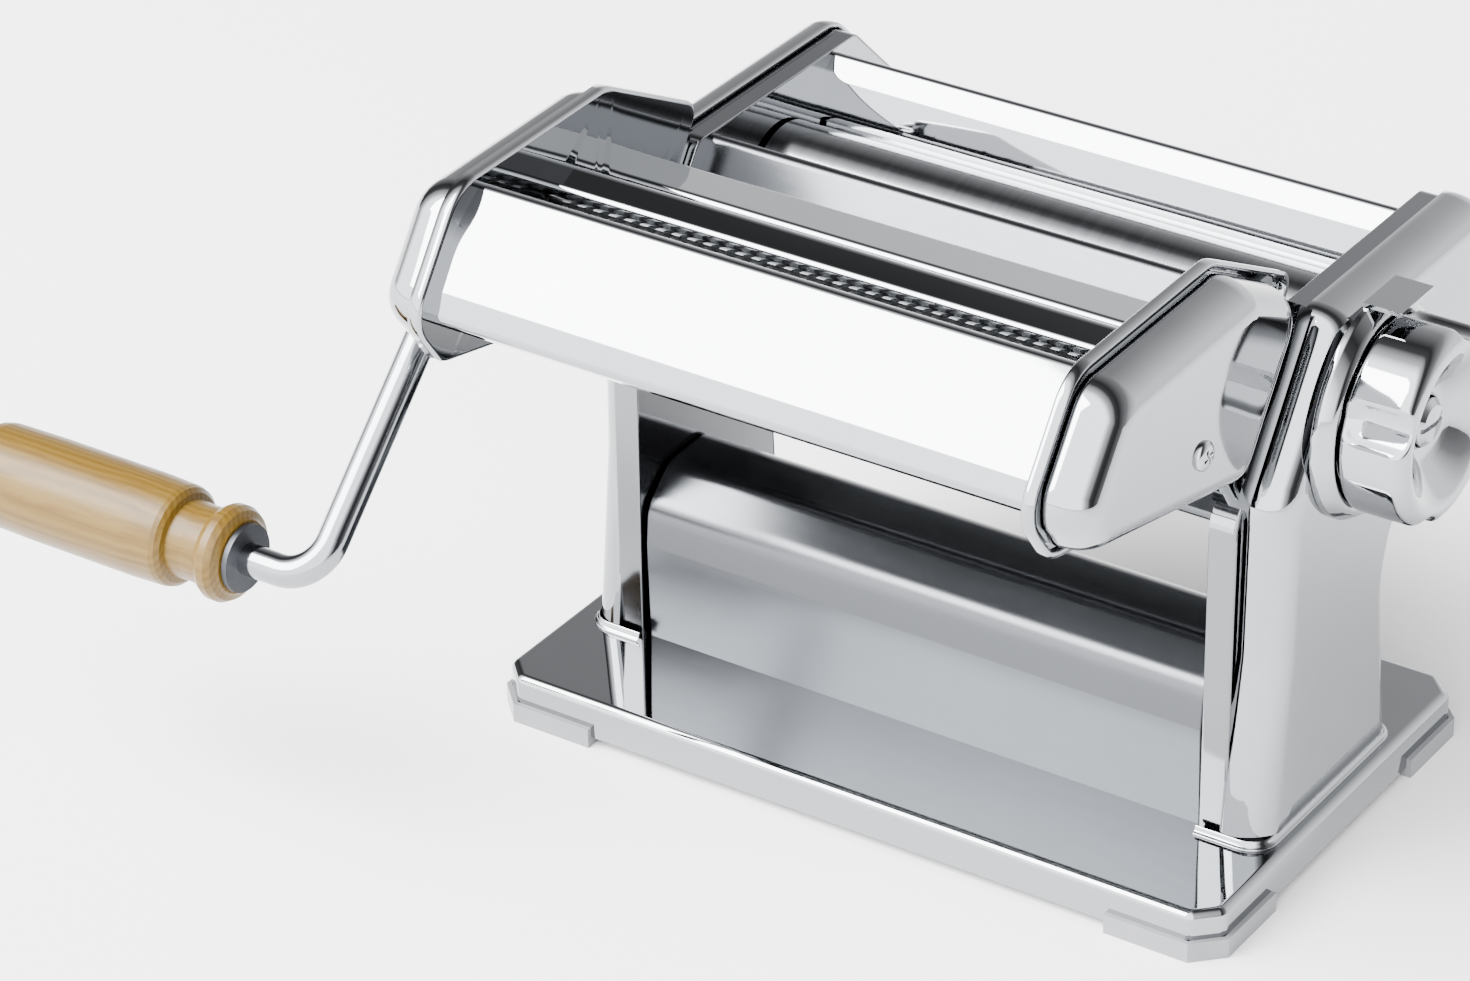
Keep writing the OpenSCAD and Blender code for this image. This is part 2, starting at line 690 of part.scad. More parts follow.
head_axes = [narrow_front, narrow_rear, wide_front, wide_rear];
tie_at = [-54.5, 117];
module head_plate(left) {
    difference() {
        union() {
            slab(inner_x, web_x) polygon(head_outline);
            slab(web_x, web_x + rim_w) difference() {
                polygon(head_outline);
                polygon(inset(head_outline, 1.2));
            }
        }
        for (i = [0:3]) bar(head_axes[i], inner_x - 1, web_x + 1,
            bush_r(left && (i == 1 || i == 2) ? socket_out_r : cutter_journal_r));
        bar(tie_at, inner_x - 1, web_x + 1, tie_neck_r + 0.1);
        // the rim stops where the guide channel is fixed to the plate
        rail_frame() box_at(web_x, web_x + 4, -8, 0, rail_low - 0.5, 2.5);
    }
}
module head_right_plate() { color(chrome) head_plate(false); }
module head_left_plate() { color(chrome) mirror([1, 0, 0]) head_plate(true); }

module right_end_cap() {
    color(chrome) difference() {
        on_side(web_x, true) pressed_shell(right_cap_outline, cap_w, 7, cover_t);
        bar(right_post, web_x + cap_w - 3, web_x + cap_w + 1, cap_screw_r + 0.15);
    }
}
module left_end_cap() {
    deep = cap_w + web_x - ear_x;
    color(chrome) difference() {
        union() {
            on_side(web_x, false) pressed_solid(left_cap_outline, cap_w, 7);
            on_side(ear_x, false) pressed_solid(ear_outline, deep, ear_rim_r);
        }
        on_side(web_x - 0.01, false)
            pressed_solid(inset(left_cap_outline, cover_t), cap_w - cover_t, 7 - cover_t);
        on_side(ear_x - 0.01, false)
            pressed_solid(inset(ear_outline, cover_t), deep - cover_t, ear_rim_r - cover_t);
        for (p = [narrow_rear, wide_front])
            bar(p, -web_x - cap_w - 1, -web_x - cap_w + 3, socket_out_r + 0.8);
        bar(left_post, -web_x - cap_w - 1, -web_x - cap_w + 3, cap_screw_r + 0.15);
    }
}

// Screws that hold the end caps, each with its post on the head plate. The left head is low,
// so that the crank arm passes over it.
module cap_screws() {
    color(steel) for (s = [1, -1]) {
        at = s > 0 ? right_post : left_post;
        mirror([s > 0 ? 0 : 1, 0, 0]) difference() {
            union() {
                bar(at, web_x, web_x + cap_w - cover_t, 3);
                bar(at, web_x + cap_w - cover_t - 1, web_x + cap_w + 0.2, cap_screw_r);
                turned(at, s > 0 ? [[0, web_x + cap_w], [3.4, web_x + cap_w], [3.4, web_x + cap_w + 0.6],
                    [2.2, web_x + cap_w + 1.4], [0, web_x + cap_w + 1.6]]
                    : [[0, web_x + cap_w], [3.4, web_x + cap_w], [3.4, web_x + cap_w + 0.15],
                    [2.9, web_x + cap_w + 0.35], [0, web_x + cap_w + 0.35]]);
            }
            translate([web_x + cap_w + (s > 0 ? 0.8 : 0.1), at.x - 4, at.y - 0.4]) cube([2, 8, 0.8]);
        }
    }
}

module front_panel() {
    color(chrome) between([[-80.5, 154.6], [-84, 158.6], [-95.2, 150.6], [-103.8, 138.4],
        [-105.4, 133.6], [-100.5, 129.6]], 1.8);
}
module centre_guard() {
    color(chrome) between([[-46.5, 141.2], [-50.2, 143], [-56.8, 152.3], [-65, 150.2],
        [-65.4, 147.2]], 1.6);
}
module rear_guard() {
    color(chrome) between([rail_pt(-1.3, -34), rail_pt(-1.3, -8.5), [-17.8, 135.8], [-33.3, 138.2],
        [-33.8, 135.6]], 1.6);
}

tie_neck_r = 1.6;
module head_tie_rod() {
    color(steel) {
        bar(tie_at, -inner_x, inner_x, 2.5);
        bar(tie_at, -web_x - 1.5, web_x + 1.5, tie_neck_r);
        for (s = [-1, 1]) bar(tie_at, s > 0 ? web_x : -web_x - 1.5, s > 0 ? web_x + 1.5 : -web_x, 3);
    }
}
module head_bushes() {
    color(brass) for (i = [0:3]) {
        bush(head_axes[i], 1, cutter_journal_r);
        bush(head_axes[i], -1, i == 1 || i == 2 ? socket_out_r : cutter_journal_r);
    }
}

// ---------- cutters and their combs ----------

narrow_pitch = 2 * narrow_w + 0.2;
wide_pitch = 2 * wide_w + 0.2;
function discs(w, pitch, odd) = 2 * floor((half_len - w) / pitch) + odd;

// One turned cutter: discs of width w stand on the core at every pitch
function disc_profile(w, pitch, n) = concat(
    [[0, -half_len], [cutter_core_r, -half_len]],
    [for (k = [0:n - 1]) let(x = (k - (n - 1) / 2) * pitch)
        each [[cutter_core_r, x - w / 2], [cutter_r, x - w / 2],
              [cutter_r, x + w / 2], [cutter_core_r, x + w / 2]]],
    [[cutter_core_r, half_len], [0, half_len]]);

module cutter(at, w, pitch, n, left_x1, left_r) {
    difference() {
        union() {
            turned(at, disc_profile(w, pitch, n));
            bar(at, half_len, web_x, cutter_journal_r);
            bar(at, -left_x1, -half_len, left_r);
        }
        if (left_r > cutter_journal_r) socket_cut(at, left_x1);
    }
}
narrow_gear_x = web_x + 2;
wide_gear_x = narrow_gear_x + 4.7;
cutter_gear_w = 3.6;
module narrow_cutter_front() {
    color(steel) cutter(narrow_front, narrow_w, narrow_pitch, discs(narrow_w, narrow_pitch, 1),
        narrow_gear_x + cutter_gear_w, cutter_journal_r);
}
module narrow_cutter_rear() {
    color(steel) cutter(narrow_rear, narrow_w, narrow_pitch, discs(narrow_w, narrow_pitch, 0),
        narrow_end, socket_out_r);
}
module wide_cutter_front() {
    color(steel) cutter(wide_front, wide_w, wide_pitch, discs(wide_w, wide_pitch, 1),
        narrow_end, socket_out_r);
}
module wide_cutter_rear() {
    color(steel) cutter(wide_rear, wide_w, wide_pitch, discs(wide_w, wide_pitch, 0),
        wide_gear_x + cutter_gear_w, cutter_journal_r);
}

module cutter_gear(at, toward, half, x0, bore) {
    color(brass) gear(at, toward, cutter_teeth, pair_gap / 2, 1.3, 1.7, 0.15, half,
        -x0 - cutter_gear_w, -x0, bore);
}
module narrow_gear_front() {
    cutter_gear(narrow_front, narrow_rear, 1, narrow_gear_x, cutter_journal_r);
}
module narrow_gear_rear() {
    cutter_gear(narrow_rear, narrow_front, 0, narrow_gear_x, socket_out_r);
}
module wide_gear_front() {
    cutter_gear(wide_front, wide_rear, 0, wide_gear_x, socket_out_r);
}
module wide_gear_rear() {
    cutter_gear(wide_rear, wide_front, 1, wide_gear_x, cutter_journal_r);
}

// A comb hangs below its cutter; its teeth reach between the discs
comb_t = 0.8;
comb_off = 4.35;
comb_tip = sqrt(pow(cutter_core_r + 0.5, 2) - comb_off * comb_off);
comb_root = sqrt(pow(cutter_r + 0.5, 2) - comb_off * comb_off);
module comb(at, side, w, pitch, n) {
    translate([0, at.x, at.y]) rotate([-head_slope, 0, 0])
        translate([0, side * comb_off - comb_t / 2, 0]) difference() {
            box_at(-inner_x, inner_x, 0, comb_t, -16, -comb_tip);
            for (k = [0:n - 1]) let(x = (k - (n - 1) / 2) * pitch)
                box_at(x - w / 2 - move_gap, x + w / 2 + move_gap, -1, comb_t + 1,
                    -comb_root, -comb_tip + 1);
        }
}
module narrow_combs() {
    color(steel) {
        comb(narrow_front, 1, narrow_w, narrow_pitch, discs(narrow_w, narrow_pitch, 1));
        comb(narrow_rear, -1, narrow_w, narrow_pitch, discs(narrow_w, narrow_pitch, 0));
    }
}
module wide_combs() {
    color(steel) {
        comb(wide_front, 1, wide_w, wide_pitch, discs(wide_w, wide_pitch, 1));
        comb(wide_rear, -1, wide_w, wide_pitch, discs(wide_w, wide_pitch, 0));
    }
}

// ---------- crank ----------

rod_in = narrow_end - socket_len + 0.5;
upper_bend = 5;
lower_bend = 10;
grip_x0 = 115.5;                        // inner end of the wooden grip
grip_x1 = grip_x0 + grip_len;
pin_end = grip_x1 - 6;
crank_eye = narrow_rear + crank_throw * [sin(crank_turn), -cos(crank_turn)];

module rod_bend(cx, cz, from, r) {
    translate([cx, 0, cz]) rotate([90, 0, 0]) rotate([0, 0, from])
        rotate_extrude(angle = 90) translate([r, 0]) circle(rod_r);
}
cross_pin_x = narrow_end - 2.6;
module crank_rod() {
    color(chrome) difference() {
        union() {
            translate([0, narrow_rear.x, narrow_rear.y]) rotate([crank_turn, 0, 0]) {
                bar([0, 0], -arm_x + upper_bend, -rod_in, rod_r);
                bar([0, -crank_throw], -pin_end, -arm_x - lower_bend, rod_r);
                rod_bend(-arm_x + upper_bend, -upper_bend, 90, upper_bend);
                translate([-arm_x, 0, -crank_throw + lower_bend])
                    cylinder(h = crank_throw - upper_bend - lower_bend, r = rod_r);
                rod_bend(-arm_x - lower_bend, -crank_throw + lower_bend, -90, lower_bend);
            }
        }
        translate([-cross_pin_x, narrow_rear.x, narrow_rear.y]) rotate([90, 0, 0])
            cylinder(h = 20, r = cross_pin_r, center = true);
    }
}
module crank_pin() {
    color(steel) translate([-cross_pin_x, narrow_rear.x, narrow_rear.y]) rotate([90, 0, 0])
        cylinder(h = 2 * socket_out_r - 1.4, r = cross_pin_r, center = true);
}
module grip_ferrule() {
    color(dark_steel) difference() {
        bar(crank_eye, -grip_x0 + 0.3, -grip_x0 + 1.6, 8);
        bar(crank_eye, -grip_x0 - 1, -grip_x0 + 3, rod_r);
    }
}
// Turned grip: collar, neck, shoulder and a long rounded body
module wooden_grip() {
    bead = grip_r - 0.8;
    color(wood) difference() {
        turned(crank_eye, concat(
            [[0, -grip_x1]],
            [for (i = [1:6]) let(t = 90 * i / 6)
                [grip_r * sin(t) * 0.98, -grip_x1 + 9 - 9 * cos(t)]],
            [[grip_r, -grip_x1 + 22], [grip_r, -grip_x0 - 26], [grip_r - 0.3, -grip_x0 - 17.5]],
            [for (i = [1:3]) let(t = 90 * i / 3)
                [9.2 + (grip_r - 9.5) * cos(t), -grip_x0 - 17.5 + 2.5 * sin(t)]],
            [[9, -grip_x0 - 11], [9.2, -grip_x0 - 7]],
            [for (i = [0:5]) let(t = 180 * i / 5)
                [9.2 + (bead - 9.2) * sin(t), -grip_x0 - 3.4 - 3 * cos(t)]],
            [[8.6, -grip_x0], [0, -grip_x0]]));
        bar(crank_eye, -pin_end - 0.5, -grip_x0 + 1, rod_r + run_fit);
    }
}

base_plate();
corner_feet();
base_screws();
left_side_frame();
right_side_frame();
left_cover();
right_cover();
sheet_chute();
front_wall();
feed_plate();
front_scraper();
rear_scraper();
stay_rods();
rear_roller_bushes();
guide_rails();
knob_ring();
index_tab();
rear_roller();
rear_roller_gear();
front_roller();
front_roller_gear();
left_bearing_slide();
right_bearing_slide();
slide_springs();
regulator_shaft();
regulator_cams();
regulator_knob();
knob_screw();
knob_spring();
head_left_plate();
head_right_plate();
left_end_cap();
right_end_cap();
front_panel();
centre_guard();
rear_guard();
head_tie_rod();
head_bushes();
guide_channels();
cap_screws();
narrow_combs();
wide_combs();
narrow_cutter_front();
narrow_cutter_rear();
wide_cutter_front();
wide_cutter_rear();
narrow_gear_front();
narrow_gear_rear();
wide_gear_front();
wide_gear_rear();
crank_rod();
crank_pin();
wooden_grip();
grip_ferrule();
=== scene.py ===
import json
import math

import bmesh
import bpy
from mathutils import Matrix, Vector


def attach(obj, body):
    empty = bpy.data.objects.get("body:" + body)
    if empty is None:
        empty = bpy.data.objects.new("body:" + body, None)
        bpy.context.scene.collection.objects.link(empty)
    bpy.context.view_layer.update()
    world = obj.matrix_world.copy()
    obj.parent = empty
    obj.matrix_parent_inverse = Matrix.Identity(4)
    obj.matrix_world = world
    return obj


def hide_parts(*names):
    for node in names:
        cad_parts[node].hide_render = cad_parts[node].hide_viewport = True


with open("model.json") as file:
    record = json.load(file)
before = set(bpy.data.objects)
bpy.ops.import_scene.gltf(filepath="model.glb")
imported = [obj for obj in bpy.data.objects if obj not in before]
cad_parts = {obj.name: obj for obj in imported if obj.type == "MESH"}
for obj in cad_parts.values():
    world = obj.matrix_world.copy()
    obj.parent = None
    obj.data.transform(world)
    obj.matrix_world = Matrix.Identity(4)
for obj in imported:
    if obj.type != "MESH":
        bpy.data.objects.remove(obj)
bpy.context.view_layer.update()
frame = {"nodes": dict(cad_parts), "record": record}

nodes = frame["nodes"]
MM = 0.001

# Sizes in mm, as in the part's source. Places along the machine are x, and a pair is (y, z).
SIDE = {1: "right", -1: "left"}
INNER_X = 76.0      # inner faces of the side plates
WEB_X = 78.0        # outer faces of the side plates
FLANGE_X = 82.0     # edge of the frames' flanges, where the covers start
RIGHT_X = 93.0      # face of the right cover
LEFT_X = 90.5       # face of the left cover
CAP_X = 90.5        # faces of the head's end caps
BASE_X = 97.0
BASE_Y = 59.0
BASE_TOP = 12.0
FOOT_Z = 2.5        # the base's rim stands this high on its feet
RAIL_LEAN = 34.5    # degrees from upright
RAIL_TOP = (-1.0, 132.5)
KNOB_AXIS = (10.5, 108.5)
REAR_ROLLER_AXIS = (64.5, 107.5)
HEAD_AXES = [(-82.43, 138.73), (-63.5, 134.5), (-43.2, 126.8), (-24.27, 122.57)]
TIE_AXIS = (-54.5, 117.0)
RIGHT_POST = (-58.5, 128.2)
LEFT_POST = (-50, 143)
HEAD_RIM_X = 79.15  # edge of the head sides' turned rims
HEAD_BACK = 4.5     # the head sides' rear edge lies this far before the rails
CAP_INSET = 2.5     # the caps' edges stand back from the head sides' edges

# Walls of the sheet metal in mm
BASE_WALL = 1.2
COVER_WALL = 1.1
CAP_WALL = 1.15
HEAD_SIDE_WALL = 1.5
SHEET_WALL = 1.0
FOLD_WALL = 0.1
FLARE_WALL = 0.2


# ---------------------------------------------------------------- materials

class Finish:
    """A principled material with short calls for its nodes."""

    def __init__(self, name):
        self.material = bpy.data.materials.new(name)
        self.material.use_nodes = True
        self.tree = self.material.node_tree
        self.bsdf = self.tree.nodes["Principled BSDF"]
        self.place = self.node("ShaderNodeTexCoord").outputs["Object"]

    def node(self, kind, **values):
        made = self.tree.nodes.new(kind)
        for key, value in values.items():
            setattr(made, key, value)
        return made

    def link(self, source, target):
        self.tree.links.new(source, target)

    def drive(self, socket, source):
        """Feeds an input of the principled shader."""
        self.link(source, self.bsdf.inputs[socket])

    def set(self, **values):
        """Constant values of the principled shader, with _ for the spaces in a name."""
        for key, value in values.items():
            self.bsdf.inputs[key.replace("_", " ")].default_value = value
        return self

    def mapped(self, scale, turn=(0, 0, 0)):
        """Object coordinates in metres, scaled and turned by degrees."""
        mapping = self.node("ShaderNodeMapping")
        mapping.inputs["Scale"].default_value = scale
        mapping.inputs["Rotation"].default_value = [math.radians(a) for a in turn]
        self.link(self.place, mapping.inputs["Vector"])
        return mapping.outputs["Vector"]

    def noise(self, vector, scale, detail, rough=0.5):
        tex = self.node("ShaderNodeTexNoise")
        tex.inputs["Scale"].default_value = scale
        tex.inputs["Detail"].default_value = detail
        tex.inputs["Roughness"].default_value = rough
        self.link(vector, tex.inputs["Vector"])
        return tex.outputs["Fac"]

    def ramp(self, fac, stops):
        """Colours (position, grey or RGB) along a factor."""
        ramp = self.node("ShaderNodeValToRGB")
        items = ramp.color_ramp.elements
        while len(items) < len(stops):
            items.new(0.5)
        for item, (at, value) in zip(items, stops):
            item.position = at
            item.color = (*value, 1) if isinstance(value, tuple) else (value,) * 3 + (1,)
        self.link(fac, ramp.inputs["Fac"])
        return ramp.outputs["Color"]

    def shaded(self, fac, tone, darkest, low=0.3, high=0.7):
        """A tone that falls to a share of itself where the factor is low."""
        return self.ramp(fac, [(low, tuple(darkest * c for c in tone)), (high, tone)])

    def span(self, fac, low, high):
        fit = self.node("ShaderNodeMapRange")
        fit.inputs["To Min"].default_value = low
        fit.inputs["To Max"].default_value = high
        self.link(fac, fit.inputs["Value"])
        return fit.outputs["Result"]

    def multiplied(self, colour, factor, strength):
        mix = self.node("ShaderNodeMix", data_type="RGBA", blend_type="MULTIPLY")
        mix.inputs["Factor"].default_value = strength
        self.link(colour, mix.inputs["A"])
        self.link(factor, mix.inputs["B"])
        return mix.outputs["Result"]

    def bump(self, height, strength, distance):
        bump = self.node("ShaderNodeBump")
        bump.inputs["Strength"].default_value = strength
        bump.inputs["Distance"].default_value = distance
        self.link(height, bump.inputs["Height"])
        self.drive("Normal", bump.outputs["Normal"])


def polished_plate(name, tone, rough, wave):
    """Chromed sheet: clear reflections that waver by wave metres, with faint wipe marks."""
    f = Finish(name).set(Metallic=1.0)
    f.drive("Base Color", f.shaded(f.noise(f.place, scale=38.0, detail=4.0), tone, darkest=0.97))
    marks = f.noise(f.mapped(scale=(30, 220, 220)), scale=2.0, detail=5.0, rough=0.6)
    f.drive("Roughness", f.span(marks, rough * 0.85, rough * 1.2))
    waver = f.noise(f.mapped(scale=(9, 22, 22)), scale=1.3, detail=1.0)
    f.bump(waver, strength=0.35, distance=wave)
    return f.material


def turned_metal(name, tone, rough, across):
    """Turned bar with fine rings round the X axis, across of them to a metre or so."""
    f = Finish(name).set(Metallic=1.0)
    rings = f.noise(f.mapped(scale=(across, 3, 3)), scale=1.0, detail=4.0, rough=0.6)
    f.drive("Base Color", f.shaded(rings, tone, darkest=0.86, low=0.25, high=0.75))
    f.drive("Roughness", f.span(rings, rough * 0.75, rough * 1.35))
    f.bump(rings, strength=0.12, distance=0.00005)
    return f.material


def plain_metal(name, tone, rough, grain):
    """Sheet or cut steel with a fine even grain."""
    f = Finish(name).set(Metallic=1.0)
    cloud = f.noise(f.place, scale=grain, detail=6.0, rough=0.65)
    f.drive("Base Color", f.shaded(cloud, tone, darkest=0.8))
    f.drive("Roughness", f.span(cloud, rough * 0.8, rough * 1.3))
    f.bump(cloud, strength=0.2, distance=0.00006)
    return f.material


def moulded_grey(name, tone):
    """Smooth grey moulding of the feet."""
    f = Finish(name).set(Metallic=0.0, Coat_Weight=0.3, Coat_Roughness=0.25)
    cloud = f.noise(f.place, scale=160.0, detail=4.0)
    f.drive("Base Color", f.shaded(cloud, tone, darkest=0.93))
    f.drive("Roughness", f.span(cloud, 0.28, 0.42))
    f.bump(f.noise(f.place, scale=900.0, detail=2.0), strength=0.15, distance=0.00008)
    return f.material


def lacquered_beech():
    """Pale beech: long grain along X, short darker flecks, clear lacquer."""
    f = Finish("lacquered_beech").set(Metallic=0.0, Coat_Weight=0.06, Coat_Roughness=0.2,
                                     Specular_IOR_Level=0.25)
    wander = f.noise(f.mapped(scale=(7, 26, 26)), scale=1.6, detail=3.0)
    grain = f.node("ShaderNodeTexWave", wave_type="BANDS", bands_direction="Y")
    grain.inputs["Scale"].default_value = 210.0
    grain.inputs["Distortion"].default_value = 8.0
    grain.inputs["Detail"].default_value = 3.0
    grain.inputs["Detail Scale"].default_value = 0.6
    f.link(f.mapped(scale=(0.12, 1, 0.8), turn=(35, 0, 0)), grain.inputs["Vector"])
    tone = f.ramp(grain.outputs["Fac"], [(0.0, (0.085, 0.048, 0.0052)),
                                         (0.55, (0.100, 0.058, 0.0072)),
                                         (1.0, (0.112, 0.067, 0.0105))])
    flecks = f.noise(f.mapped(scale=(70, 900, 900)), scale=1.0, detail=2.0, rough=0.7)
    fleck_tones = f.ramp(flecks, [(0.36, (0.80, 0.66, 0.52)), (0.47, (1.0, 1.0, 1.0))])
    cloud_tones = f.ramp(wander, [(0.35, (0.86, 0.80, 0.74)), (0.65, (1.0, 1.0, 1.0))])
    flecked = f.multiplied(tone, fleck_tones, strength=0.55)
    f.drive("Base Color", f.multiplied(flecked, cloud_tones, strength=0.6))
    f.drive("Roughness", f.span(flecks, 0.42, 0.30))
    f.bump(flecks, strength=0.25, distance=0.00012)
    return f.material


# The metals are a little darker than bare chrome, so that plate reads grey on a white floor
FINISHES = {
    "plate": polished_plate("polished_plate", (0.29, 0.298, 0.308), rough=0.04, wave=0.0006),
    # satin: a rougher sheet finish for real, but its tone, a third of the plate's, is painted shade
    # that keeps the sheet guide and rail wall dim
    "satin_painted_dim": polished_plate("satin_plate_painted_dim", (0.088, 0.092, 0.098), rough=0.22, wave=0.00005),
    "edge": polished_plate("folded_plate", (0.17, 0.175, 0.183), rough=0.1, wave=0.0002),
    "knob": polished_plate("polished_knob", (0.32, 0.328, 0.338), rough=0.05, wave=0.0003),
    "crank": polished_plate("polished_rod", (0.235, 0.243, 0.256), rough=0.10, wave=0.0001),
    "roller": turned_metal("sheeting_roller", (0.27, 0.277, 0.287), rough=0.14, across=900.0),
    "cutter": turned_metal("cutter_steel", (0.50, 0.51, 0.52), rough=0.48, across=500.0),
    "steel": plain_metal("plain_steel", (0.21, 0.217, 0.226), rough=0.3, grain=260.0),
    "gear": plain_metal("oiled_gear_steel", (0.11, 0.113, 0.12), rough=0.34, grain=320.0),
    "brass": plain_metal("turned_brass", (0.28, 0.18, 0.065), rough=0.27, grain=300.0),
    "washer": plain_metal("dark_washer_steel", (0.075, 0.078, 0.085), rough=0.42, grain=400.0),
    "feet": moulded_grey("grey_feet", (0.17, 0.174, 0.18)),
    "beech": lacquered_beech(),
}
FINISH_OF_SLOT = {
    "chrome_sheet": "plate", "chrome_knob": "knob", "grey_feet": "feet",
    "roller_steel": "roller", "cutter_steel": "cutter", "steel": "steel",
    "gear_steel": "gear", "brass": "brass", "crank_chrome": "crank", "wood": "beech",
    "dark_washer": "washer",
}
for part in frame["record"]["subparts"]:
    mesh = nodes[part["node"]].data
    mesh.materials.clear()
    mesh.materials.append(FINISHES[FINISH_OF_SLOT[part["material_slot"]]])


# ---------------------------------------------------------------- outlines

def rail_point(y, z):
    """A point in the frame of the head's guide rails, as (y, z)."""
    lean = math.radians(RAIL_LEAN)
    return (RAIL_TOP[0] + y * math.cos(lean) + z * math.sin(lean),
            RAIL_TOP[1] - y * math.sin(lean) + z * math.cos(lean))


def circle(at, radius, count=48):
    return [(at[0] + radius * math.cos(2 * math.pi * k / count),
             at[1] + radius * math.sin(2 * math.pi * k / count)) for k in range(count)]


def drawn_in(outline, gap):
    """An anticlockwise outline moved inwards by gap, or by one gap for each side."""
    gaps = gap if isinstance(gap, (list, tuple)) else [gap] * len(outline)
    moved = []
    for i, point in enumerate(outline):
        here = Vector(point)
        before = (here - Vector(outline[i - 1])).normalized()
        after = (Vector(outline[(i + 1) % len(outline)]) - here).normalized()
        a, b = Vector((-before.y, before.x)), Vector((-after.y, after.x))
        gap_a, gap_b = gaps[i - 1], gaps[i]
        det = a.x * b.y - a.y * b.x
        if abs(det) < 1e-6:
            moved.append(tuple(here + gap_a * a))
        else:
            moved.append(tuple(here + Vector((gap_a * b.y - gap_b * a.y,
                                              gap_b * a.x - gap_a * b.x)) / det))
    return moved


def corner_arc(before, here, after, radius, steps):
    """Points of the arc that rounds the corner at here, from the side of before."""
    here = Vector(here)
    back = (Vector(before) - here).normalized()
    ahead = (Vector(after) - here).normalized()
    turn = math.pi - back.angle(ahead)
    hand = 1 if (-back).cross(ahead) > 0 else -1
    normal = Vector((back.y, -back.x)) * hand
    centre = here + back * radius * math.tan(turn / 2) + normal * radius
    return [tuple(centre + Matrix.Rotation(hand * turn * k / steps, 2) @ (-normal * radius))
            for k in range(steps + 1)]


def rounded(corners, radii, steps=8):
    """Rounds a closed outline, always with steps + 1 points to a corner."""
    line = []
    for i, here in enumerate(corners):
        line += corner_arc(corners[i - 1], here, corners[(i + 1) % len(corners)], radii[i], steps)
    return line


def bent_line(path, steps):
    """Points of an open path, whose corners are (a, b, bend radius)."""
    line = []
    for i, (a, b, radius) in enumerate(path):
        if radius:
            line += corner_arc(path[i - 1][:2], (a, b), path[i + 1][:2], radius, steps)
        else:
            line.append((a, b))
    return line


# ---------------------------------------------------------------- shaping helpers

def add_piece(name, bm, finish, body, stands_for=()):
    """Makes the object of a finished bmesh given in mm."""
    bmesh.ops.scale(bm, vec=(MM, MM, MM), verts=bm.verts)
    mesh = bpy.data.meshes.new(name)
    bm.to_mesh(mesh)
    bm.free()
    mesh.shade_smooth()
    mesh.materials.append(FINISHES[finish])
    made = bpy.data.objects.new(name, mesh)
    bpy.context.collection.objects.link(made)
    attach(made, body)
    if stands_for:
        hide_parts(*stands_for)
    return made


def flats_kept(made):
    """Keeps flat faces flat in the shading where they run into bends."""
    weighted = made.modifiers.new("flats", "WEIGHTED_NORMAL")
    weighted.keep_sharp = True
    weighted.weight = 100


def add_sheet(name, bm, body, wall, stands_for=(), finish="plate"):
    """Makes a piece of sheet metal from the skin of its outer face; its wall lies inside."""
    made = add_piece(name, bm, finish, body, stands_for)
    shell = made.modifiers.new("sheet", "SOLIDIFY")
    shell.thickness = wall * MM
    shell.offset = -1
    shell.use_even_offset = True
    flats_kept(made)


def faced(bm, towards):
    """Turns a skin so that most of it faces the given way."""
    bm.normal_update()
    if sum(f.normal.dot(Vector(towards)) * f.calc_area() for f in bm.faces) < 0:
        bmesh.ops.reverse_faces(bm, faces=bm.faces)


def cut_away(bm, faces):
    bmesh.ops.delete(bm, geom=faces, context="FACES")


def foot_faces(bm):
    """Level faces of a column where it stands on the base."""
    return [f for f in bm.faces
            if abs(f.normal.z) > 0.97 and f.calc_center_median().z < BASE_TOP + 0.5]


def bevelled(bm, edges, width, segments):
    bmesh.ops.bevel(bm, geom=edges, offset=width, offset_type="OFFSET", segments=segments,
                    profile=0.5, affect="EDGES", material=-1)


def chain(bm, points):
    """An open line of edges through points."""
    verts = [bm.verts.new(p) for p in points]
    return [bm.edges.new(pair) for pair in zip(verts, verts[1:])]


def ring(bm, points):
    """A closed loop of edges through points."""
    verts = [bm.verts.new(p) for p in points]
    return [bm.edges.new((verts[i - 1], v)) for i, v in enumerate(verts)]


def drawn_out(bm, edges, place):
    """Extrudes a line of edges and moves each new vertex where place(old position) says."""
    grown = bmesh.ops.extrude_edge_only(bm, edges=edges)["geom"]
    for vert in grown:
        if isinstance(vert, bmesh.types.BMVert):
            vert.co = place(vert.co)
    return [e for e in grown if isinstance(e, bmesh.types.BMEdge) and
            all(v in grown for v in e.verts)]


def lofted(bm, loops, closed=True):
    """Extrudes the first loop through the others, which have as many points."""
    edges = ring(bm, loops[0]) if closed else chain(bm, loops[0])
    for before, after in zip(loops, loops[1:]):
        where = {tuple(round(c, 4) for c in Vector(a)): Vector(b) for a, b in zip(before, after)}
        edges = drawn_out(bm, edges, lambda co: where[tuple(round(c, 4) for c in co)])
    return edges


def at_x(x, outline):
    return [(x, y, z) for y, z in outline]


